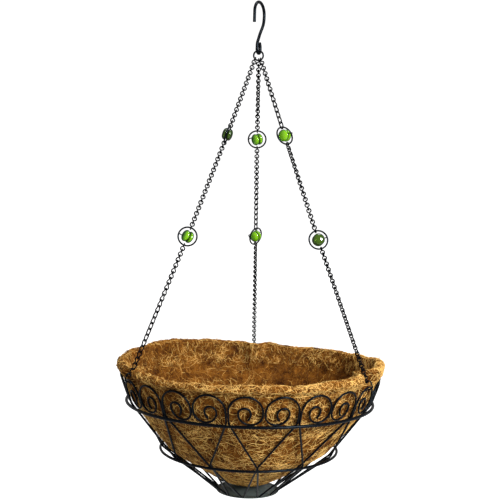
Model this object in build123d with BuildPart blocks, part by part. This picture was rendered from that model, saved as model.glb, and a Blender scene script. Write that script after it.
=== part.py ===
"""A hanging basket: a wire bowl with a coco liner, hung from a hook on three chains."""

from build123d import *
import math
import os

os.makedirs("parts", exist_ok=True)

# Every size is in millimetres. The origin is the centre of the base plate's
# underside, +Z is up and -Y is the front. Azimuths are in degrees, counted from
# the front towards +X.
TOUCH_GAP = 0.02

# Wire bowl
RIM_RADIUS = 177.8
RIM_HEIGHT = 163.4
UPPER_HOOP_RADIUS = 168.9
UPPER_HOOP_HEIGHT = 125.3
UPPER_HOOP_WIRE = 2.0
LOWER_HOOP_RADIUS = 121.5
LOWER_HOOP_HEIGHT = 58.8
LOWER_HOOP_WIRE = 1.75
SCROLL_WIRE = 1.3
SCROLL_PAIRS = 12
PAIR_PITCH = 360 / SCROLL_PAIRS
FIRST_PAIR = 21.0
SCROLL_WIDEST = 15.5
SCROLL_SINK = 2.2
LOWER_RADIUS = 15.0
CURL_RADIUS = 7.6
TAIL_RADIUS = 14.0
TAIL_ANGLE = 42.0
STEM_FOOT = 3.0
DIAGONAL_BEND = 12.0
CROSSING_GAP = 0.2
CROSSING_LEAN = 44.0
LANDING_INSET = 0.9
LANDING_GAP_ANGLE = 2.3

# Base plate
BASE_RADIUS = 43.2
BASE_SHEET = 1.0
BASE_BRIM = 6.0
BASE_DOME_HEIGHT = 9.0
BASE_DOME_RADIUS = 14.0

# Liner
LINER_RIM_RADIUS = 183.0
LINER_RIM_HEIGHT = 181.0
LINER_WALL = 9.0
LINER_FLOOR_RADIUS = 33.0
LINER_FLOOR_HEIGHT = 9.6
LINER_KNEE = (110.5, 60.5)
NOTCH_WIDTH = 15.0
NOTCH_FLOOR = 148.0
NOTCH_CUT = 60.0

# Hook and hanging ring
HOOK_WIRE = 2.125
CROWN_RADIUS = 15.0
CROWN_HEIGHT = 654.6
LEG_END_HEIGHT = 640.1
EYE_RADIUS = 5.0
EYE_HEIGHT = 605.5
SHANK_POINTS = [(12.6, CROWN_HEIGHT - 13.0), (3.9, 628.7), (-2.9, 617.0)]
EYE_END_POINTS = [(4.6, EYE_HEIGHT + 5.0), (2.6, EYE_HEIGHT + 9.6)]
HOOK_TURN = 64.0
RING_RADIUS = 6.5
RING_WIRE = 1.2
HANG_GAP = 0.15

# Chains
CHAIN_AZIMUTHS = {"right": 58.5, "rear": 178.5, "left": 298.5}
LINK_WIRE = 0.85
LINK_BOW_RADIUS = 2.7
LINK_SIDE_BULGE = 2.9
LINK_HALF_LENGTH = 4.95
LINK_TWIST = 90.0
LINK_JOINT_GAP = 0.1
END_GAP = 0.25
UPPER_LINKS = 13
MIDDLE_LINKS = 16
LOWER_LINKS = 23
UPPER_CHARM = (44.5, 487.4)
LOWER_CHARM = (99.7, 349.2)

# Charms: ring, stub, hoop and grooved bead
CHARM_RADIUS = 12.4
CHARM_WIRE = 1.1
BEAD_HOOP_RADIUS = 6.3
BEAD_HOOP_WIRE = 0.55
BEAD_RADIUS = 8.0
BEAD_HALF_LENGTH = 7.0
BEAD_LOBE = [(0, BEAD_HALF_LENGTH), (2.2, 6.9), (6.4, 5.6), (BEAD_RADIUS, 3.2), (7.7, 1.9)]
BEAD_GROOVE_RADIUS = 5.6
BEAD_GROOVE_HALF_WIDTH = 0.75
STUB_WIRE = 0.7
STUB_BEND = 1.2
STUB_REACH = 9.7
STUB_OVERHANG = 4.6
FLAT_HOOP_TURN = 20.0

# Clips
CLIP_WIRE = 1.0
CLIP_SPAN = 10.5
CLIP_ARM = 5.0
CLIP_BACK = 5.2
CLIP_BEND = 3.0
CLIP_GAP = 0.45


def around(radius, azimuth, height):
    """Return the point at a radius, an azimuth from the front and a height."""
    angle = math.radians(azimuth)
    return Vector(radius * math.sin(angle), -radius * math.cos(angle), height)


def turned(plane, direction, angle):
    """Return a plane turned about its own origin and a direction, by degrees."""
    axis = Axis((0, 0, 0), direction)
    x_dir = plane.x_dir.rotate(axis, angle)
    return Plane(plane.origin, x_dir=x_dir, z_dir=plane.z_dir.rotate(axis, angle))


def write(part, name):
    """Label a finished piece and write its file."""
    part.label = name
    export_step(part, f"parts/{name}.step")


# ---------------------------------------------------------------- scroll wires
# Each scroll is bent flat, in a plane that leans out from the upper hoop to the
# rim. Its stem touches the stem of its mirror image in the middle of the pair.
HALF_STEP = math.radians(PAIR_PITCH / 4)
STEM_RADIUS = UPPER_HOOP_RADIUS - UPPER_HOOP_WIRE - SCROLL_WIRE - TOUCH_GAP
STEM_OFFSET = SCROLL_WIRE + TOUCH_GAP
FOOT_RADIUS = STEM_RADIUS * math.cos(HALF_STEP)
SLOPE_LENGTH = math.hypot(RIM_RADIUS - FOOT_RADIUS, RIM_HEIGHT - UPPER_HOOP_HEIGHT)
SLOPE_OUT = (RIM_RADIUS - FOOT_RADIUS) / SLOPE_LENGTH
SLOPE_UP = (RIM_HEIGHT - UPPER_HOOP_HEIGHT) / SLOPE_LENGTH


def half_width(up):
    """Return how far a wire may stand off a scroll's middle, at a height up its slope."""
    radius = FOOT_RADIUS + SLOPE_OUT * up
    return (radius * math.sin(HALF_STEP) - STEM_OFFSET) / math.cos(HALF_STEP)


STEM_LEAN = math.degrees(math.atan(SLOPE_OUT * math.tan(HALF_STEP)))
SCROLL_RADIUS = half_width(SCROLL_WIDEST)
SCROLL_MIDDLE = SLOPE_LENGTH - SCROLL_RADIUS


def scroll_plane(hand):
    """Return a scroll's plane: X away from its stem, Y up its slope."""
    azimuth = FIRST_PAIR + hand * PAIR_PITCH / 4
    foot = around(FOOT_RADIUS, azimuth, UPPER_HOOP_HEIGHT)
    out = around(SLOPE_OUT, azimuth, SLOPE_UP)
    along = around(1, azimuth + hand * 90, 0)
    return Plane(foot, x_dir=along, z_dir=along.cross(out))


def lower_hoop_crossing(hand):
    """Return where a wire crosses inside the lower hoop, one hand inside the other."""
    depth = LOWER_HOOP_WIRE + SCROLL_WIRE + TOUCH_GAP
    if hand < 0:
        depth += 2 * SCROLL_WIRE + CROSSING_GAP
    lean = math.radians(CROSSING_LEAN)
    radius = LOWER_HOOP_RADIUS - depth * math.cos(lean)
    height = LOWER_HOOP_HEIGHT + depth * math.sin(lean)
    return around(radius, FIRST_PAIR + hand * PAIR_PITCH / 2, height)


def base_landing(hand):
    """Return where a wire ends, on the brim of the base plate."""
    radius = BASE_RADIUS - LANDING_INSET
    azimuth = FIRST_PAIR + hand * (PAIR_PITCH - LANDING_GAP_ANGLE)
    run = around(radius, azimuth, BASE_SHEET + SCROLL_WIRE) - lower_hoop_crossing(hand)
    lift = SCROLL_WIRE * math.sqrt(1 - run.normalized().Z ** 2) + TOUCH_GAP
    return around(radius, azimuth, BASE_SHEET + lift)


def scroll_wires(hand, name):
    """Make one scroll wire and its copies round the bowl."""
    plane = scroll_plane(hand)
    with BuildPart() as wires:
        with BuildLine(plane) as scroll:
            top = CenterArc((0, SCROLL_MIDDLE), SCROLL_RADIUS, 0, 180 + STEM_LEAN)
            low = SCROLL_MIDDLE - SCROLL_SINK
            inner = SCROLL_RADIUS - 2 * LOWER_RADIUS
            Line((SCROLL_RADIUS, SCROLL_MIDDLE), (SCROLL_RADIUS, low))
            CenterArc((SCROLL_RADIUS - LOWER_RADIUS, low), LOWER_RADIUS, 180, 180)
            CenterArc((inner + CURL_RADIUS, low), CURL_RADIUS, 0, 180)
            curl_right = inner + 2 * CURL_RADIUS
            CenterArc((curl_right - TAIL_RADIUS, low), TAIL_RADIUS, -TAIL_ANGLE, TAIL_ANGLE)
        lean = math.radians(STEM_LEAN)
        arc_end = (-SCROLL_RADIUS * math.cos(lean), SCROLL_MIDDLE - SCROLL_RADIUS * math.sin(lean))
        drop = arc_end[1] - STEM_FOOT
        foot = (arc_end[0] + drop * math.tan(lean), STEM_FOOT)
        with BuildLine():
            FilletPolyline(
                plane.from_local_coords(arc_end),
                plane.from_local_coords(foot),
                lower_hoop_crossing(hand),
                base_landing(hand),
                radius=DIAGONAL_BEND,
            )
        path = Wire(wires.pending_edges)
        with BuildSketch(Plane(path @ 0, z_dir=path % 0)):
            Circle(SCROLL_WIRE)
        sweep(path=path)
        one_wire = wires.part
        for copy in range(1, SCROLL_PAIRS):
            add(one_wire.rotate(Axis.Z, copy * PAIR_PITCH))
    write(wires.part, name)


scroll_wires(1, "right_hand_scroll_wires")
scroll_wires(-1, "left_hand_scroll_wires")


# ----------------------------------------------------------------------- hoops
def hoop(radius, height, wire, name):
    """Make a round hoop about the basket's axis."""
    with BuildPart() as ring:
        with BuildSketch(Plane.XZ):
            with Locations((radius, height)):
                Circle(wire)
        revolve(axis=Axis.Z)
    write(ring.part, name)


hoop(UPPER_HOOP_RADIUS, UPPER_HOOP_HEIGHT, UPPER_HOOP_WIRE, "upper_hoop")
hoop(LOWER_HOOP_RADIUS, LOWER_HOOP_HEIGHT, LOWER_HOOP_WIRE, "lower_hoop")

# ------------------------------------------------------------------ base plate
# A sheet metal saucer, upside down: a flat brim with a low dome inside it.
BRIM_INSIDE = BASE_RADIUS - BASE_BRIM
with BuildPart() as base_plate:
    with BuildSketch(Plane.XZ):
        with BuildLine():
            Polyline(
                (0, BASE_DOME_HEIGHT),
                (BASE_DOME_RADIUS, BASE_DOME_HEIGHT),
                (BRIM_INSIDE, BASE_SHEET),
                (BASE_RADIUS, BASE_SHEET),
                (BASE_RADIUS, 0),
                (BRIM_INSIDE - 0.5, 0),
                (BASE_DOME_RADIUS - 0.5, BASE_DOME_HEIGHT - BASE_SHEET),
                (0, BASE_DOME_HEIGHT - BASE_SHEET),
                close=True,
            )
        make_face()
    revolve(axis=Axis.Z)
write(base_plate.part, "base_plate")

# ----------------------------------------------------------------------- liner
# A pressed fibre bowl. Its rim spreads over the scrolls, and three notches in
# the rim let the chains and clips reach the wire.
LINER_FOOT = (LINER_FLOOR_RADIUS, LINER_FLOOR_HEIGHT)
BEHIND_SCROLLS = (RIM_RADIUS - SCROLL_WIRE - 1.8, RIM_HEIGHT - 4.0)
OVER_SCROLLS = (RIM_RADIUS - 1.0, RIM_HEIGHT + SCROLL_WIRE + 0.7)
RIM_UNDERSIDE = (LINER_RIM_RADIUS - 2.0, RIM_HEIGHT + 3.2)
RIM_SIDE = (LINER_RIM_RADIUS, RIM_HEIGHT + 8.0)
RIM_SHOULDER = (LINER_RIM_RADIUS - 3.0, LINER_RIM_HEIGHT - 1.0)
RIM_TOP = (LINER_RIM_RADIUS - 6.0, LINER_RIM_HEIGHT)
RIM_INSIDE = (LINER_RIM_RADIUS - LINER_WALL, LINER_RIM_HEIGHT - 1.5)
with BuildPart() as coco_liner:
    with BuildSketch(Plane.XZ):
        with BuildLine():
            Polyline(
                (0, LINER_FLOOR_HEIGHT),
                LINER_FOOT,
                LINER_KNEE,
                (STEM_RADIUS - 4.0, UPPER_HOOP_HEIGHT + 1.5),
                BEHIND_SCROLLS,
                OVER_SCROLLS,
                RIM_UNDERSIDE,
            )
            ThreePointArc(RIM_UNDERSIDE, RIM_SIDE, RIM_SHOULDER)
            Polyline(
                RIM_SHOULDER,
                RIM_TOP,
                RIM_INSIDE,
                (RIM_RADIUS - 10.5, RIM_HEIGHT),
                (STEM_RADIUS - 13.0, UPPER_HOOP_HEIGHT + 4.0),
                (LINER_KNEE[0] - 6.5, LINER_KNEE[1] + 7.0),
                (LINER_FLOOR_RADIUS - 3.0, LINER_FLOOR_HEIGHT + LINER_WALL),
                (0, LINER_FLOOR_HEIGHT + LINER_WALL),
                (0, LINER_FLOOR_HEIGHT),
            )
        make_face()
    revolve(axis=Axis.Z)
    for notch_azimuth in CHAIN_AZIMUTHS.values():
        middle = around(RIM_RADIUS, notch_azimuth, NOTCH_FLOOR + NOTCH_CUT / 2)
        with Locations(Location(middle, (0, 0, notch_azimuth))):
            Box(NOTCH_WIDTH, NOTCH_CUT, NOTCH_CUT, mode=Mode.SUBTRACT)
write(coco_liner.part, "coco_liner")

# ------------------------------------------------------------------------ hook
HOOK_PLANE = Plane((0, 0, 0), x_dir=around(1, 90 + HOOK_TURN, 0), z_dir=around(1, HOOK_TURN, 0))
with BuildPart() as hook:
    with BuildLine(HOOK_PLANE) as hook_path:
        Line((-CROWN_RADIUS, LEG_END_HEIGHT), (-CROWN_RADIUS, CROWN_HEIGHT))
        ThreePointArc(
            (-CROWN_RADIUS, CROWN_HEIGHT),
            (0, CROWN_HEIGHT + CROWN_RADIUS),
            (CROWN_RADIUS, CROWN_HEIGHT),
        )
        Spline(
            (CROWN_RADIUS, CROWN_HEIGHT),
            *SHANK_POINTS,
            (-EYE_RADIUS, EYE_HEIGHT),
            tangents=[(0, -1), (0, -1)],
        )
        ThreePointArc(
            (-EYE_RADIUS, EYE_HEIGHT),
            (0, EYE_HEIGHT - EYE_RADIUS),
            (EYE_RADIUS, EYE_HEIGHT),
        )
        Spline(
            (EYE_RADIUS, EYE_HEIGHT),
            *EYE_END_POINTS,
            tangents=[(0, 1), (-0.6, 0.8)],
        )
    hook_start = hook_path.wire().position_at(0)
    with BuildSketch(Plane(hook_start, z_dir=hook_path.wire().tangent_at(0))):
        Circle(HOOK_WIRE)
    sweep(path=hook_path.wire())
write(hook.part, "hook")

# ---------------------------------------------------------------- hanging ring
EYE_FOOT = EYE_HEIGHT - EYE_RADIUS
RING_HEIGHT = EYE_FOOT + HOOK_WIRE + RING_WIRE + HANG_GAP - RING_RADIUS
with BuildPart() as hanging_ring:
    with Locations(Plane((0, 0, RING_HEIGHT), x_dir=(1, 0, 0), z_dir=(0, -1, 0))):
        Torus(RING_RADIUS, RING_WIRE)
write(hanging_ring.part, "hanging_ring")


# ---------------------------------------------------------------------- chains
UP = Vector(0, 0, 1)


def make_link():
    """Make one twisted link with a butt joint in one side, its length along Z."""
    twist = math.radians(LINK_TWIST / 2)
    head_side = Vector(math.cos(twist), math.sin(twist), 0) * LINK_BOW_RADIUS
    foot_side = Vector(math.cos(twist), -math.sin(twist), 0) * LINK_BOW_RADIUS
    head = UP * (LINK_HALF_LENGTH - LINK_BOW_RADIUS)
    foot = -head
    reach = UP * LINK_SIDE_BULGE
    # Control points of the split side, from the head bow to the foot bow.
    p0 = head + head_side
    p1 = p0 - reach
    p3 = foot + foot_side
    p2 = p3 + reach
    joint = (p0 + p1 * 3 + p2 * 3 + p3) / 8
    half_gap = UP * (LINK_JOINT_GAP / 2)
    q0 = head - head_side
    q3 = foot - foot_side
    with BuildPart() as link:
        with BuildLine() as loop:
            Bezier(joint + half_gap, (p0 + p1 * 2 + p2) / 4, (p0 + p1) / 2, p0)
            ThreePointArc(p0, head + UP * LINK_BOW_RADIUS, q0)
            Bezier(q0, q0 - reach, q3 + reach, q3)
            ThreePointArc(q3, foot - UP * LINK_BOW_RADIUS, p3)
            Bezier(p3, (p2 + p3) / 2, (p1 + p2 * 2 + p3) / 4, joint - half_gap)
        path = loop.wire()
        with BuildSketch(Plane(path @ 0, z_dir=path % 0)):
            Circle(LINK_WIRE)
        sweep(path=path)
    return link.part


LINK = make_link()


def wire_turn(wire_run, side, heading):
    """Return the angle of a wire's direction about a chain's heading."""
    return math.degrees(math.atan2(wire_run.dot(heading.cross(side)), wire_run.dot(side)))


def chain_run(first, last, count, name):
    """Make a straight run of links between two wires: each a centre, direction and radius."""
    reach = last[0] - first[0]
    heading = reach.normalized()
    first_end, last_end = [LINK_HALF_LENGTH - LINK_WIRE - end[2] - END_GAP for end in (first, last)]
    pitch = (reach.length - first_end - last_end) / (count - 1)
    side = heading.cross(Vector(0, 1, 0)).normalized()
    # The end bows stand square to the wires they hook, so the links turn a
    # little from one to the next to get from the first wire's angle to the last's.
    first_turn = wire_turn(first[1], side, heading) + 90 + LINK_TWIST / 2
    last_turn = wire_turn(last[1], side, heading) + 90 - LINK_TWIST / 2
    last_turn += 180 * round((first_turn - last_turn) / 180)
    step = (last_turn - first_turn) / (count - 1)
    with BuildPart() as run:
        for index in range(count):
            centre = first[0] + heading * (first_end + pitch * index)
            place = turned(Plane(centre, x_dir=side, z_dir=heading), heading, first_turn + step * index)
            add(LINK.moved(place.location))
    write(run.part, name)


# ---------------------------------------------------------------------- charms
def charm_plane(centre, heading, turn):
    """Return a charm's plane: Y up its chain, Z towards the front, turned about Y."""
    up = -heading
    front = (Vector(0, -1, 0) - up * up.dot(Vector(0, -1, 0))).normalized()
    flat = Plane(centre, x_dir=up.cross(front), z_dir=front)
    return turned(flat, up, turn)


def charm(plane, stub_side, hoop_turn, name):
    """Make a charm's wire frame and the grooved bead that turns in its hoop."""
    hoop_plane = turned(plane, plane.y_dir, hoop_turn)
    stub_start = plane.origin + plane.x_dir * stub_side * CHARM_RADIUS
    hoop_side = hoop_plane.x_dir * stub_side
    lobe_side = hoop_plane.z_dir * math.copysign(1, (stub_start - plane.origin).dot(hoop_plane.z_dir))
    stub_end = plane.origin + hoop_side * BEAD_HOOP_RADIUS
    over_groove = plane.origin + hoop_side * STUB_REACH
    # Where the hoop is turned out of the ring's plane, the stub bends past one
    # lobe of the bead before it drops into the groove.
    with BuildPart() as frame:
        with Locations(plane):
            Torus(CHARM_RADIUS, CHARM_WIRE)
        with Locations(hoop_plane):
            Torus(BEAD_HOOP_RADIUS, BEAD_HOOP_WIRE)
        with BuildLine() as stub:
            if abs(hoop_turn) < FLAT_HOOP_TURN:
                Line(stub_start, stub_end)
            else:
                past_lobe = over_groove + lobe_side * STUB_OVERHANG
                FilletPolyline(stub_start, past_lobe, over_groove, stub_end, radius=STUB_BEND)
        stub_wire = stub.wire()
        with BuildSketch(Plane(stub_wire @ 0, z_dir=stub_wire % 0)):
            Circle(STUB_WIRE)
        sweep(path=stub_wire)
    write(frame.part, f"{name}_charm_ring")
    bead_plane = turned(hoop_plane, hoop_plane.x_dir, 90)
    with BuildPart() as bead:
        with BuildSketch(bead_plane):
            with BuildLine():
                Spline(*BEAD_LOBE, tangents=[(1, 0), (-0.6, -1)])
                Polyline(
                    BEAD_LOBE[-1],
                    (BEAD_GROOVE_RADIUS, BEAD_GROOVE_HALF_WIDTH),
                    (BEAD_GROOVE_RADIUS, 0),
                )
                mirror(about=Plane.XZ)
                Line((0, BEAD_HALF_LENGTH), (0, -BEAD_HALF_LENGTH))
            make_face()
        revolve(axis=Axis(hoop_plane.origin, hoop_plane.z_dir))
    write(bead.part, f"{name}_glass_bead")


# The turn of each charm on its chain, the side its stub is on and the turn of
# its hoop: upper charm first, then the lower one.
CHARMS = {
    "right": [(38, 1, -76), (12, 1, 0)],
    "rear": [(0, -1, -55), (48, -1, -88)],
    "left": [(85, -1, 0), (0, -1, -58)],
}


# ----------------------------------------------------------------------- clips
def clip(arm_foot, heading, inward, name):
    """Make a C clip: one arm through the last link, the other under a scroll."""
    plane = Plane(arm_foot, x_dir=inward, z_dir=inward.cross(heading))
    with BuildPart() as hook_clip:
        with BuildLine(plane) as path:
            FilletPolyline(
                (CLIP_ARM, 0),
                (-CLIP_BACK, 0),
                (-CLIP_BACK, CLIP_SPAN),
                (CLIP_ARM, CLIP_SPAN),
                radius=CLIP_BEND,
            )
        wire = path.wire()
        with BuildSketch(Plane(wire @ 0, z_dir=wire % 0)):
            Circle(CLIP_WIRE)
        sweep(path=wire)
    write(hook_clip.part, name)


# ------------------------------------------------------------ the three chains
RING_CENTRE = Vector(0, 0, RING_HEIGHT)
SIDE_LINK_ANGLES = {"right": 32.0, "rear": 5.0, "left": -42.0}


def ring_hold(angle):
    """Return where a chain hooks the hanging ring: centre, direction and wire radius."""
    turn = math.radians(angle)
    outward = Vector(math.sin(turn), 0, -math.cos(turn))
    return RING_CENTRE + outward * RING_RADIUS, Vector(math.cos(turn), 0, math.sin(turn)), RING_WIRE


def charm_hold(plane, side):
    """Return where a chain hooks a charm, above it (side 1) or below it (side -1)."""
    return plane.origin + plane.y_dir * side * CHARM_RADIUS, plane.x_dir, CHARM_WIRE


for chain, azimuth in CHAIN_AZIMUTHS.items():
    head = ring_hold(SIDE_LINK_ANGLES[chain])
    upper = around(UPPER_CHARM[0], azimuth, UPPER_CHARM[1])
    lower = around(LOWER_CHARM[0], azimuth, LOWER_CHARM[1])
    scroll_top = around(RIM_RADIUS, azimuth, RIM_HEIGHT)
    clip_heading = (scroll_top - lower).normalized()
    inward = around(-1, azimuth, 0)
    inward = (inward - clip_heading * inward.dot(clip_heading)).normalized()
    clip_head = scroll_top + clip_heading * (SCROLL_WIRE + CLIP_WIRE + CLIP_GAP - CLIP_SPAN)
    clip(clip_head, clip_heading, inward, f"{chain}_rim_clip")
    upper_turn, lower_turn = [charm_look[0] for charm_look in CHARMS[chain]]
    upper_plane = charm_plane(upper, (lower - head[0]).normalized(), upper_turn)
    lower_plane = charm_plane(lower, (scroll_top - upper).normalized(), lower_turn)
    charm(upper_plane, *CHARMS[chain][0][1:], f"{chain}_upper")
    charm(lower_plane, *CHARMS[chain][1][1:], f"{chain}_lower")
    chain_run(head, charm_hold(upper_plane, 1), UPPER_LINKS, f"{chain}_upper_chain")
    middle_head = charm_hold(upper_plane, -1)
    chain_run(middle_head, charm_hold(lower_plane, 1), MIDDLE_LINKS, f"{chain}_middle_chain")
    lower_head = charm_hold(lower_plane, -1)
    chain_run(lower_head, (clip_head, inward, CLIP_WIRE), LOWER_LINKS, f"{chain}_lower_chain")
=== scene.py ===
"""The looks of a hanging basket: black wire, twisted chain, glass beads and a coco liner."""

import math

import bpy
import numpy as np
from mathutils import Matrix, Vector


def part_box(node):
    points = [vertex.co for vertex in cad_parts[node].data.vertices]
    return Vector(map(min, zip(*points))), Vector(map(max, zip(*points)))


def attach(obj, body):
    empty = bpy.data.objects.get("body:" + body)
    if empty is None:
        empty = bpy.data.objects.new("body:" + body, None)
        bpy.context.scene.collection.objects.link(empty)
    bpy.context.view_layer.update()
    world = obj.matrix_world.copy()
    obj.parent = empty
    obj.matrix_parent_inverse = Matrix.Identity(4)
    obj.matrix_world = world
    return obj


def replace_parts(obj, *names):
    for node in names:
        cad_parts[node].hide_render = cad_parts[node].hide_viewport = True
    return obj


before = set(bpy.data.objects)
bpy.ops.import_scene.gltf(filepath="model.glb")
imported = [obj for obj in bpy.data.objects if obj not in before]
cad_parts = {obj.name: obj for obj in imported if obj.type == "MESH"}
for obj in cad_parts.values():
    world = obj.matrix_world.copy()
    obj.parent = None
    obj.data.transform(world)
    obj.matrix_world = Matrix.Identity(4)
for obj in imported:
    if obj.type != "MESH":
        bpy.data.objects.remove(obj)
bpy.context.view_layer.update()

# Blender works in metres. The liner and its strands are worked out in millimetres
# and scaled by MM. Azimuths are degrees from the front (-Y) towards +X.
MM = 0.001
CHAINS = ("right", "rear", "left")


# ------------------------------------------------------------------- materials
NOISE_LOW, NOISE_HIGH = 0.3, 0.7  # most of a noise texture's values lie between these


def new_material(name):
    """Return an empty node material with its tree and its Principled shader."""
    material = bpy.data.materials.new(name)
    material.use_nodes = True
    return material, material.node_tree, material.node_tree.nodes["Principled BSDF"]


def noise(tree, scale, detail, roughness=0.55):
    """Return the value output of a noise texture on object coordinates."""
    coords = tree.nodes.new("ShaderNodeTexCoord")
    texture = tree.nodes.new("ShaderNodeTexNoise")
    texture.inputs["Scale"].default_value = scale
    texture.inputs["Detail"].default_value = detail
    texture.inputs["Roughness"].default_value = roughness
    tree.links.new(coords.outputs["Object"], texture.inputs["Vector"])
    return texture.outputs["Fac"]


def ramp(tree, source, stops):
    """Return the colour output of a ramp fed by a value output."""
    node = tree.nodes.new("ShaderNodeValToRGB")
    elements = node.color_ramp.elements
    while len(elements) < len(stops):
        elements.new(0.5)
    for element, (place, colour) in zip(elements, stops):
        element.position = place
        element.color = (*colour, 1)
    tree.links.new(source, node.inputs["Fac"])
    return node.outputs["Color"]


def remap(tree, source, low, high):
    """Return a noise value output spread from low to high."""
    node = tree.nodes.new("ShaderNodeMapRange")
    node.inputs["From Min"].default_value = NOISE_LOW
    node.inputs["From Max"].default_value = NOISE_HIGH
    node.inputs["To Min"].default_value = low
    node.inputs["To Max"].default_value = high
    tree.links.new(source, node.inputs["Value"])
    return node.outputs["Result"]


def scaled_sum(tree, source, factor, added=None):
    """Return a value output times a factor, plus another value output if one is given."""
    node = tree.nodes.new("ShaderNodeMath")
    node.operation = "MULTIPLY" if added is None else "MULTIPLY_ADD"
    node.inputs[1].default_value = factor
    tree.links.new(source, node.inputs[0])
    if added is not None:
        tree.links.new(added, node.inputs[2])
    return node.outputs[0]


def bump(tree, shader, source, strength, distance):
    """Feed a bump from a value output into a shader's normal."""
    node = tree.nodes.new("ShaderNodeBump")
    node.inputs["Strength"].default_value = strength
    node.inputs["Distance"].default_value = distance
    tree.links.new(source, node.inputs["Height"])
    tree.links.new(node.outputs["Normal"], shader.inputs["Normal"])


def coated_metal(name, dark, light, roughness, shine):
    """A satin powder coat: fine orange peel, uneven sheen and paler worn places."""
    material, tree, shader = new_material(name)
    wear = noise(tree, scale=180, detail=6)
    colour = ramp(tree, wear, [(0.62, dark), (0.8, light)])
    tree.links.new(colour, shader.inputs["Base Color"])
    sheen = noise(tree, scale=420, detail=3)
    rough = remap(tree, sheen, low=roughness - 0.08, high=roughness + 0.1)
    tree.links.new(rough, shader.inputs["Roughness"])
    shader.inputs["Specular IOR Level"].default_value = shine
    shader.inputs["Specular Tint"].default_value = (0.6, 0.8, 1.0, 1)
    peel = noise(tree, scale=1500, detail=2)
    bump(tree, shader, peel, strength=0.25, distance=0.0002)
    return material


# The glass's colour by how far its surface turns away from the eye, with painted shade
# at the edge: clear green in the middle, almost black at the edge.
GLASS_MIDDLE = [(0.0, (0.3, 0.66, 0.008)), (0.22, (0.18, 0.48, 0.008)), (0.44, (0.02, 0.1, 0.003))]
GLASS_PAINTED_EDGE_SHADE = (0.66, (0.001, 0.008, 0.001))


def green_glass(name, clearness):
    """Yellow-green pressed glass, cloudy in places, with painted shade darkening its edge and a faint
    painted glow. A low clearness darkens its middle.
    """
    material, tree, shader = new_material(name)
    facing = tree.nodes.new("ShaderNodeLayerWeight")
    facing.inputs["Blend"].default_value = 0.45
    middle = [(place, tuple(clearness * part for part in colour)) for place, colour in GLASS_MIDDLE]
    colour = ramp(tree, facing.outputs["Facing"], [*middle, GLASS_PAINTED_EDGE_SHADE])
    tree.links.new(colour, shader.inputs["Base Color"])
    swirl = noise(tree, scale=160, detail=3)
    rough = remap(tree, swirl, low=0.02, high=0.09)
    tree.links.new(rough, shader.inputs["Roughness"])
    shader.inputs["Transmission Weight"].default_value = 0.5
    shader.inputs["IOR"].default_value = 1.5
    # The glass glows faintly in its own colour: painted light, brightest in the clear middle.
    tree.links.new(colour, shader.inputs["Emission Color"])
    shader.inputs["Emission Strength"].default_value = 0.1
    bump(tree, shader, swirl, strength=0.12, distance=0.0004)
    return material


# Fibre colours from the darkest, which the bare mat shows as painted shade between the strands, up to the
# palest strands.
FIBRE_STOPS = [
    (0.42, (0.035, 0.009, 0.001)),
    (0.58, (0.22, 0.08, 0.01)),
    (0.74, (0.5, 0.225, 0.034)),
    (0.92, (1.0, 0.65, 0.2)),
]
SHADE_WEIGHT = 0.55  # how much a strand's tone, with its painted shade, adds to the noise


def coco_fibre(name, roughness, shine, roughened=0.0):
    """Coco fibre mottled at two scales, and paler where a mesh's per-point fibre value, its own tone plus
    painted shade, is higher.
    """
    material, tree, shader = new_material(name)
    shade = tree.nodes.new("ShaderNodeAttribute")
    shade.attribute_name = "fibre_tone_and_shade"
    coarse = noise(tree, scale=55, detail=8, roughness=0.7)
    fine = noise(tree, scale=420, detail=6, roughness=0.75)
    mottle = scaled_sum(tree, coarse, 0.5, added=scaled_sum(tree, fine, 0.5))
    value = scaled_sum(tree, shade.outputs["Fac"], SHADE_WEIGHT, added=mottle)
    tree.links.new(ramp(tree, value, FIBRE_STOPS), shader.inputs["Base Color"])
    shader.inputs["Roughness"].default_value = roughness
    shader.inputs["Specular IOR Level"].default_value = shine
    if roughened:
        bump(tree, shader, fine, strength=roughened, distance=0.002)
    return material


wire_coat = coated_metal(
    "black_wire_coat", dark=(0.001, 0.0012, 0.002), light=(0.004, 0.004, 0.006), roughness=0.3, shine=0.12
)
chain_coat = coated_metal(
    "black_chain_coat", dark=(0.001, 0.001, 0.0015), light=(0.006, 0.005, 0.005), roughness=0.34, shine=0.05
)
base_coat = coated_metal(
    "grey_sheet_coat", dark=(0.085, 0.105, 0.1), light=(0.13, 0.15, 0.145), roughness=0.4, shine=0.12
)
bead_glass = green_glass("green_bead_glass", clearness=1.0)
deep_glass = green_glass("deep_green_bead_glass", clearness=0.18)
# The mat's mesh has no per-point fibre value, so it takes the ramp's darker end: painted shade in the gaps
# between the strands.
mat_fibre = coco_fibre("coco_mat", roughness=0.85, shine=0.05, roughened=0.9)
strand_fibre = coco_fibre("coco_strands", roughness=0.6, shine=0.15)

DEEP_BEADS = ("left_upper_glass_bead", "right_lower_glass_bead")


def coat_of(node_name):
    """Return the material for a CAD node."""
    if node_name in DEEP_BEADS:
        return deep_glass
    if "bead" in node_name:
        return bead_glass
    if "chain" in node_name:
        return chain_coat
    if node_name == "base_plate":
        return base_coat
    return wire_coat


for node_name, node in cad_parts.items():
    node.data.materials.clear()
    node.data.materials.append(coat_of(node_name))
    for polygon in node.data.polygons:
        polygon.use_smooth = True


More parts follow.
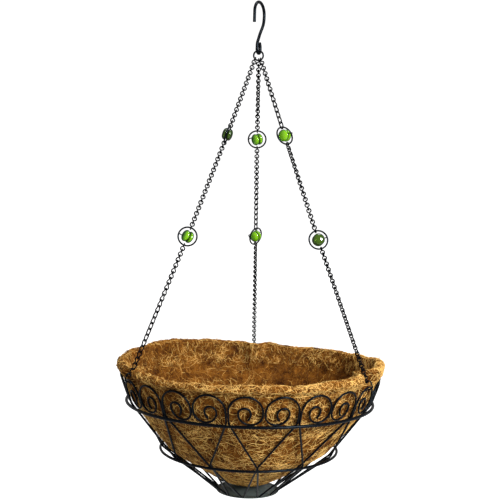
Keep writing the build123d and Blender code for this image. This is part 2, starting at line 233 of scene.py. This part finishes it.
# ----------------------------------------------------------------------- liner
# The liner's section in millimetres, radius and height: up the outside, over
# the rim and down the inside.
OUTSIDE = [(0, 9.8), (14, 9.9), (24, 11.5), (34, 15.6), (48, 23.0), (72, 37.5), (98, 54.0)]
OUTSIDE += [(110, 62.5), (122, 76.5), (139, 98.2), (154, 117.5), (161.5, 127.5)]
OUTSIDE += [(166, 138), (170, 149), (173.4, 158.5)]
RIM = [(176.4, 166.4), (180.4, 168.6), (183.0, 172.5), (182.6, 177.2), (179.4, 180.6)]
RIM += [(175.4, 181.0), (171.8, 178.4)]
INSIDE = [(168.6, 170), (165.6, 160), (160.0, 145.5), (152, 130.6), (134, 106.5), (117, 85)]
INSIDE += [(104, 68.9), (84, 55.7), (58, 38.5), (36, 25.2), (24, 20.2), (0, 19.6)]

ROUND_STEPS = 720
SECTION_STEPS = 122
SECTION_OVERSAMPLE = 4
SMOOTHING = 11  # an odd number of oversampled points

# Closed waves round the bowl: count, height in millimetres and phase in radians.
RIM_WAVES = [(5, 0.7, 0.7), (8, 0.9, 1.9), (13, 0.7, 0.2), (21, 0.45, 3.0), (34, 0.25, 1.3)]
EDGE_WAVES = [(3, 0.6, 1.0), (7, 0.9, 2.5), (11, 0.7, 0.3), (17, 0.5, 1.1)]
# The worn rim sags in front and swells at the right and at the left rear.
RIM_SWELLS = [(1, 2.8, -1.6), (2, 3.7, -0.5), (3, 1.7, -3.1)]

# The rim is pressed in behind each chain, and its outer side more than its inner
# side, so that the liner can lift past the chain. Degrees, then millimetres.
CLIP_AZIMUTHS = [
    math.degrees(math.atan2(low.x + high.x, -(low.y + high.y)))
    for low, high in (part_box(f"{chain}_rim_clip") for chain in CHAINS)
]
DENT_HALF_WIDTH, DENT_SOFTNESS = 3.6, 0.75
DENT_DEPTH, OUTER_DENT = 11.0, 10.0

# Where each of these begins and over what run it grows to its full size, in
# millimetres of height, or of radius for the dent's outer side.
RIM_WAVE_FADE = (166, 10)
EDGE_WAVE_FADE = (167, 8)
DENT_FADES = ((140, 18), (140, 25))
OUTER_DENT_FADE = (168, 10)
RIM_LUMP_FADE = (166, 6)

# The mat's lumps: height and lattice cell in millimetres, and seed. Their heights
# are multiplied by these factors on the inside, the outside and, added to that, the rim.
LUMPS = [(0.55, 9.0, 1), (0.5, 3.6, 2), (0.35, 1.7, 3)]
INNER_LUMPS, OUTER_LUMPS, RIM_LUMPS = 1.2, 0.55, 0.5
INNER_SIDE_FROM = 0.53  # the share of the section's run after which it is the inside

LATTICE_TABLE = 4096
LATTICE_PRIMES = (73856093, 19349663, 83492791)


def fade(value, start, run):
    """Grow in a straight line from 0 at start to 1 at start + run."""
    return np.clip((value - start) / run, 0, 1)


def smooth_step(share):
    """Ease a share between 0 and 1 in and out."""
    return share * share * (3 - 2 * share)


def wave(azimuth, terms):
    """A smooth closed wave round the bowl from (count, height, phase) terms."""
    angle = np.radians(azimuth)
    return sum(height * np.sin(count * angle + phase) for count, height, phase in terms)


def chain_dent(azimuth):
    """1 where the rim is pressed in behind a chain, 0 away from it, soft at the edges."""
    total = np.zeros_like(azimuth)
    for middle in CLIP_AZIMUTHS:
        away = np.abs((azimuth - middle + 180) % 360 - 180)
        total = np.maximum(total, 1 / (1 + np.exp((away - DENT_HALF_WIDTH) / DENT_SOFTNESS)))
    return total


def smooth_section(points):
    """Return SECTION_STEPS points, evenly spaced along a smooth curve through the section."""
    points = np.array(points, float)
    steps = np.concatenate([[0], np.cumsum(np.linalg.norm(np.diff(points, axis=0), axis=1))])
    fine = np.linspace(0, steps[-1], SECTION_STEPS * SECTION_OVERSAMPLE)
    line = np.stack([np.interp(fine, steps, points[:, axis]) for axis in (0, 1)], 1)
    kernel = np.hanning(SMOOTHING)
    kernel /= kernel.sum()
    margin = SMOOTHING // 2
    padded = np.pad(line, ((margin, margin), (0, 0)), mode="edge")
    line = np.stack([np.convolve(padded[:, axis], kernel, mode="valid") for axis in (0, 1)], 1)
    return line[::SECTION_OVERSAMPLE]


def lattice_noise(points, cell, seed):
    """Smooth value noise in -1..1 at points, with one random value per lattice cell."""
    table = np.random.default_rng(seed).uniform(-1, 1, LATTICE_TABLE)
    scaled = points / cell
    base = np.floor(scaled).astype(int)
    part = smooth_step(scaled - base)
    total = np.zeros(len(points))
    for corner in range(8):
        shift = np.array([corner & 1, corner >> 1 & 1, corner >> 2 & 1])
        hashed = (base + shift) * LATTICE_PRIMES
        index = (hashed[:, 0] ^ hashed[:, 1] ^ hashed[:, 2]) % LATTICE_TABLE
        weight = np.prod(np.where(shift == 1, part, 1 - part), axis=1)
        total += weight * table[index]
    return total


def liner_surface(section):
    """Return the liner's smooth grid of points: first round the bowl, then along the section."""
    azimuth = np.linspace(0, 360, ROUND_STEPS, endpoint=False)
    azimuth = np.repeat(azimuth[:, None], len(section), 1)
    radius = np.repeat(section[None, :, 0], ROUND_STEPS, 0)
    height = np.repeat(section[None, :, 1], ROUND_STEPS, 0)
    lift = smooth_step(fade(height, *RIM_WAVE_FADE))
    radius = radius + fade(height, *EDGE_WAVE_FADE) * wave(azimuth, EDGE_WAVES)
    dent = chain_dent(azimuth)
    for dent_fade in DENT_FADES:
        dent = dent * fade(height, *dent_fade)
    radius = radius - dent * (DENT_DEPTH + OUTER_DENT * fade(radius, *OUTER_DENT_FADE))
    height = height + lift * wave(azimuth, RIM_WAVES + RIM_SWELLS)
    angle = np.radians(azimuth)
    return np.stack([radius * np.sin(angle), -radius * np.cos(angle), height], -1)


def grid_normals(points):
    """Return unit normals of a grid that wraps round its first axis."""
    along = np.gradient(points, axis=1)
    rounds = np.roll(points, -1, axis=0) - np.roll(points, 1, axis=0)
    normals = np.cross(rounds, along)
    return normals / np.maximum(np.linalg.norm(normals, axis=-1, keepdims=True), 1e-9)


def lumpy(points, normals):
    """Return the grid of points moved along its normals, as lumpy as matted fibre."""
    flat = points.reshape(-1, 3)
    relief = sum(size * lattice_noise(flat, cell, seed) for size, cell, seed in LUMPS)
    place = np.tile(np.arange(SECTION_STEPS), ROUND_STEPS)
    outer = OUTER_LUMPS + RIM_LUMPS * fade(flat[:, 2], *RIM_LUMP_FADE)
    factor = np.where(place > SECTION_STEPS * INNER_SIDE_FROM, INNER_LUMPS, outer)
    moved = flat + normals.reshape(-1, 3) * (relief * factor)[:, None]
    return moved.reshape(points.shape)


def grid_mesh(name, points):
    """Make a mesh from a grid of points that wraps round its first axis."""
    rounds, along = points.shape[:2]
    index = np.arange(rounds * along).reshape(rounds, along)
    following = np.roll(index, -1, axis=0)
    quads = np.stack([index[:, :-1], following[:, :-1], following[:, 1:], index[:, 1:]], -1)
    mesh = bpy.data.meshes.new(name)
    mesh.from_pydata((points.reshape(-1, 3) * MM).tolist(), [], quads.reshape(-1, 4).tolist())
    mesh.validate()
    mesh.shade_smooth()
    return mesh


def add_liner_piece(mesh, material):
    """Add a mesh to the scene, under its own name, as a piece that rides on the liner."""
    piece = bpy.data.objects.new(mesh.name, mesh)
    bpy.context.scene.collection.objects.link(piece)
    mesh.materials.append(material)
    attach(piece, "liner")
    return piece


section = smooth_section(OUTSIDE + RIM + INSIDE)
surface = liner_surface(section)
normals = grid_normals(surface)
textured = lumpy(surface, normals)
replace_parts(add_liner_piece(grid_mesh("coco_liner_mat", textured), mat_fibre), "coco_liner")


# --------------------------------------------------------------------- strands
STRAND_POINTS = 5
STRAND_SIDES = 3
STRAND_RADIUS = (0.13, 0.32)  # millimetres, as are the next two
STRAND_SINK = 0.12  # how deep a strand's ends lie in the mat
LEAST_RUN = 0.3  # a least grid step, so that strands near the bowl's middle don't race round it
STRAND_BEND = 0.45  # the standard deviation of a strand's turn at each point, in radians
LOOSE_SHARE = 0.35  # the share of strands that have one end standing up
TAPER_FROM = 0.35  # radians into a half wave, so that a strand's ends are thin but not points
UPRIGHT = 0.8  # a strand that runs more upright than this takes its sides from the X axis
SHADE_SPREAD = 1.1  # both parameters of the beta distribution of the strands' shades
SHADE_SEED = 100  # added to a piece's seed for its shades and radii
SHADE_PATCHES = [(0.24, 24.0, 9), (0.16, 62.0, 10)]  # tone, lattice cell in millimetres, seed
# Painted shade on the fibre: darker at the rear right and at the left, most of all on the left rim.
REAR_RIGHT_SHADE, LEFT_SHADE, LEFT_RIM_SHADE = 0.44, 0.1, 0.32
# Where the painted shades above begin and over what run they grow, in millimetres from the axis or up.
REAR_FADE, RIGHT_FADE, LEFT_FADE, RIM_SHADE_FADE = (0, 160), (0, 130), (0, 140), (155, 15)

ROUND_RUN = np.linalg.norm(np.roll(surface, -1, axis=0) - surface, axis=-1)
ALONG_RUN = np.linalg.norm(np.gradient(surface, axis=1), axis=-1)


def sample(grid, around_at, along_at):
    """Read a grid of values at fractional places, wrapping round its first axis."""
    around = np.floor(around_at).astype(int)
    along = np.clip(np.floor(along_at).astype(int), 0, grid.shape[1] - 2)
    around_part = (around_at - around)[:, None]
    along_part = np.clip(along_at - along, 0, 1)[:, None]
    values = grid.reshape(grid.shape[0], grid.shape[1], -1)
    here, beyond = around % ROUND_STEPS, (around + 1) % ROUND_STEPS
    low = values[here, along] * (1 - along_part) + values[here, along + 1] * along_part
    high = values[beyond, along] * (1 - along_part) + values[beyond, along + 1] * along_part
    return low * (1 - around_part) + high * around_part


def strand_paths(count, span, length, arch, loose, seed):
    """Return the centre points of strands laid on the surface between two section places."""
    draw = np.random.default_rng(seed)
    around_at = draw.uniform(0, ROUND_STEPS, count)
    along_at = draw.uniform(*span, count)
    heading = draw.uniform(0, 2 * np.pi, count)
    bend = draw.normal(0, STRAND_BEND, count)
    step = draw.uniform(*length, count) / (STRAND_POINTS - 1)
    lift = draw.uniform(*arch, count)
    flick = draw.uniform(*loose, count) * (draw.uniform(0, 1, count) < LOOSE_SHARE)
    points = []
    for index in range(STRAND_POINTS):
        share = index / (STRAND_POINTS - 1)
        place = sample(textured, around_at, along_at)
        out = sample(normals, around_at, along_at)
        away = lift * math.sin(math.pi * share) - STRAND_SINK + flick * share**2
        points.append(place + out * away[:, None])
        round_run = np.maximum(sample(ROUND_RUN, around_at, along_at)[:, 0], LEAST_RUN)
        along_run = np.maximum(sample(ALONG_RUN, around_at, along_at)[:, 0], LEAST_RUN)
        around_at = around_at + step * np.cos(heading) / round_run
        along_at = np.clip(along_at + step * np.sin(heading) / along_run, *span)
        heading = heading + bend
    return np.stack(points, 1)


def strand_mesh(name, paths, radii, shades):
    """Make thin three-sided tubes along strand paths, one shade to each strand."""
    run = np.gradient(paths, axis=1)
    run /= np.maximum(np.linalg.norm(run, axis=-1, keepdims=True), 1e-6)
    helper = np.where(np.abs(run[..., 2:3]) < UPRIGHT, [[[0, 0, 1.0]]], [[[1.0, 0, 0]]])
    side = np.cross(run, helper)
    side /= np.linalg.norm(side, axis=-1, keepdims=True)
    other = np.cross(run, side)
    taper = np.sin(np.linspace(TAPER_FROM, math.pi - TAPER_FROM, STRAND_POINTS))
    radius = radii[:, None] * taper[None, :]
    rings = []
    for turn in range(STRAND_SIDES):
        angle = 2 * math.pi * turn / STRAND_SIDES
        rings.append(paths + (side * math.cos(angle) + other * math.sin(angle)) * radius[..., None])
    points = np.stack(rings, 2).reshape(-1, 3)
    index = np.arange(len(points)).reshape(len(paths), STRAND_POINTS, STRAND_SIDES)
    following = np.roll(index, -1, axis=2)
    quads = np.stack([index[:, :-1], following[:, :-1], following[:, 1:], index[:, 1:]], -1)
    caps = np.concatenate([index[:, 0, ::-1], index[:, -1]])
    mesh = bpy.data.meshes.new(name)
    mesh.from_pydata((points * MM).tolist(), [], quads.reshape(-1, 4).tolist() + caps.tolist())
    mesh.shade_smooth()
    per_point = np.repeat(shades, STRAND_POINTS * STRAND_SIDES).astype(np.float32)
    mesh.attributes.new("fibre_tone_and_shade", "FLOAT", "POINT").data.foreach_set("value", per_point)
    return mesh


def painted_side_shade(points):
    """Painted shade on the fibre: darker at the left, most of all on the rim, and at the rear right."""
    rear_right = fade(points[:, 1], *REAR_FADE) * fade(points[:, 0], *RIGHT_FADE)
    left = fade(-points[:, 0], *LEFT_FADE)
    on_rim = fade(points[:, 2], *RIM_SHADE_FADE)
    return -REAR_RIGHT_SHADE * rear_right - left * (LEFT_SHADE + LEFT_RIM_SHADE * on_rim)


def add_strands(name, count, span, length, arch, loose, seed, tone):
    """Scatter strands over a stretch of the liner's section, as one piece."""
    paths = strand_paths(count, span, length, arch, loose, seed)
    middles = paths[:, STRAND_POINTS // 2]
    draw = np.random.default_rng(seed + SHADE_SEED)
    radii = draw.uniform(*STRAND_RADIUS, count)
    patch = sum(size * lattice_noise(middles, cell, number) for size, cell, number in SHADE_PATCHES)
    own = draw.beta(SHADE_SPREAD, SHADE_SPREAD, count)
    # A strand's shade: its own tone and patches, plus its stretch's tone and the painted side shade.
    shades = np.clip(own + patch + tone + painted_side_shade(middles), 0, 1)
    add_liner_piece(strand_mesh(name, paths, radii, shades), strand_fibre)


# A span runs between places along the section. Length, arch and loose end are ranges
# in millimetres. A tone above 0 makes the fibre paler, and one below 0 darker; the
# inside stretches' tones below 0 are painted shade inside the bowl.
rim_place = int(np.argmax(section[:, 1]))
add_strands(
    "coco_strands_outside_low", count=6500, span=(5, rim_place - 20),
    length=(9, 26), arch=(0.2, 0.9), loose=(0, 1.0), seed=21, tone=0.1,
)
add_strands(
    "coco_strands_outside_top", count=7000, span=(rim_place - 22, rim_place + 1),
    length=(7, 20), arch=(0.1, 0.55), loose=(0, 0.5), seed=22, tone=0.22,
)
add_strands(
    "coco_strands_rim", count=6500, span=(rim_place - 6, rim_place + 8),
    length=(6, 16), arch=(0.2, 1.0), loose=(0, 3.0), seed=23, tone=0.13,
)
add_strands(
    "coco_strands_inside_top", count=7500, span=(rim_place + 2, rim_place + 30),
    length=(8, 24), arch=(0.2, 1.1), loose=(0, 1.6), seed=24, tone=-0.3,
)
add_strands(
    "coco_strands_inside_low", count=6500, span=(rim_place + 26, SECTION_STEPS - 4),
    length=(9, 26), arch=(0.2, 1.0), loose=(0, 1.2), seed=25, tone=-0.32,
)


# --------------------------------------------------------------------- staging
WHITE = (1, 1, 1, 1)
FLOOR_HALF_WIDTH, FLOOR_LEVEL = 40, -0.6
WORLD_SEEN, WORLD_LIT = 1.1, 0.44  # the strength that the camera sees, and that lights the basket
LIGHT_TARGET = (0, 0, 0.2)
# Name, place, side of the square and watts. The key light is at the upper right front.
LIGHTS = [
    ("key", (1.1, -1.35, 1.0), 0.6, 56),
    ("fill", (-1.3, -1.4, 0.6), 1.2, 1.2),
    ("top", (0.4, -0.1, 1.9), 0.7, 16),
]
CAMERA_DISTANCE, CAMERA_HEIGHT = 1.234, 0.374
CAMERA_YAW, CAMERA_PITCH, CAMERA_ROLL = 0.0039, -0.0342, 0.0253  # radians
CAMERA_SENSOR, CAMERA_LENS = 36, 64.67  # millimetres


def stage_floor():
    """A wide pale floor, well below the hanging basket, that glows evenly for the camera."""
    mesh = bpy.data.meshes.new("floor")
    signs = [(-1, -1), (1, -1), (1, 1), (-1, 1)]
    corners = [(x * FLOOR_HALF_WIDTH, y * FLOOR_HALF_WIDTH, FLOOR_LEVEL) for x, y in signs]
    mesh.from_pydata(corners, [], [(0, 1, 2, 3)])
    floor = bpy.data.objects.new("floor", mesh)
    material, tree, shader = new_material("pale_floor")
    shader.inputs["Base Color"].default_value = (0.6, 0.6, 0.6, 1)
    shader.inputs["Roughness"].default_value = 0.9
    shader.inputs["Specular IOR Level"].default_value = 0.0
    shader.inputs["Emission Color"].default_value = WHITE
    rays = tree.nodes.new("ShaderNodeLightPath")
    tree.links.new(rays.outputs["Is Camera Ray"], shader.inputs["Emission Strength"])
    mesh.materials.append(material)
    bpy.context.scene.collection.objects.link(floor)


def stage_world():
    """White surroundings that are brighter to the camera than to the basket."""
    world = bpy.data.worlds.new("studio")
    world.use_nodes = True
    tree = world.node_tree
    seen = tree.nodes["Background"]
    lit = tree.nodes.new("ShaderNodeBackground")
    for background, strength in ((seen, WORLD_SEEN), (lit, WORLD_LIT)):
        background.inputs["Color"].default_value = WHITE
        background.inputs["Strength"].default_value = strength
    rays = tree.nodes.new("ShaderNodeLightPath")
    either = tree.nodes.new("ShaderNodeMixShader")
    tree.links.new(rays.outputs["Is Camera Ray"], either.inputs["Fac"])
    tree.links.new(lit.outputs["Background"], either.inputs[1])
    tree.links.new(seen.outputs["Background"], either.inputs[2])
    tree.links.new(either.outputs["Shader"], tree.nodes["World Output"].inputs["Surface"])
    bpy.context.scene.world = world


def stage_light(name, place, size, power):
    """Add a soft square light that looks at the basket."""
    data = bpy.data.lights.new(name, "AREA")
    data.size = size
    data.energy = power
    light = bpy.data.objects.new(name, data)
    light.location = place
    aim = Vector(LIGHT_TARGET) - Vector(place)
    light.rotation_euler = aim.to_track_quat("-Z", "Y").to_euler()
    bpy.context.scene.collection.objects.link(light)


def stage_camera():
    """The camera stands in front, a little above the middle of the basket and its chains."""
    right = Vector((math.cos(CAMERA_YAW), math.sin(CAMERA_YAW), 0))
    ahead = Vector((-math.sin(CAMERA_YAW), math.cos(CAMERA_YAW), 0))
    forward = ahead * math.cos(CAMERA_PITCH) + Vector((0, 0, math.sin(CAMERA_PITCH)))
    up = Vector((0, 0, math.cos(CAMERA_PITCH))) - ahead * math.sin(CAMERA_PITCH)
    turned_right = right * math.cos(CAMERA_ROLL) + up * math.sin(CAMERA_ROLL)
    turned_up = up * math.cos(CAMERA_ROLL) - right * math.sin(CAMERA_ROLL)
    data = bpy.data.cameras.new("camera")
    data.sensor_width = CAMERA_SENSOR
    data.lens = CAMERA_LENS
    camera = bpy.data.objects.new("camera", data)
    axes = Matrix((turned_right, turned_up, -forward)).transposed()
    camera.matrix_world = Matrix.Translation((0, -CAMERA_DISTANCE, CAMERA_HEIGHT)) @ axes.to_4x4()
    bpy.context.scene.collection.objects.link(camera)
    bpy.context.scene.camera = camera


stage_floor()
stage_world()
for light in LIGHTS:
    stage_light(*light)
stage_camera()
bpy.context.scene.view_settings.view_transform = "Standard"
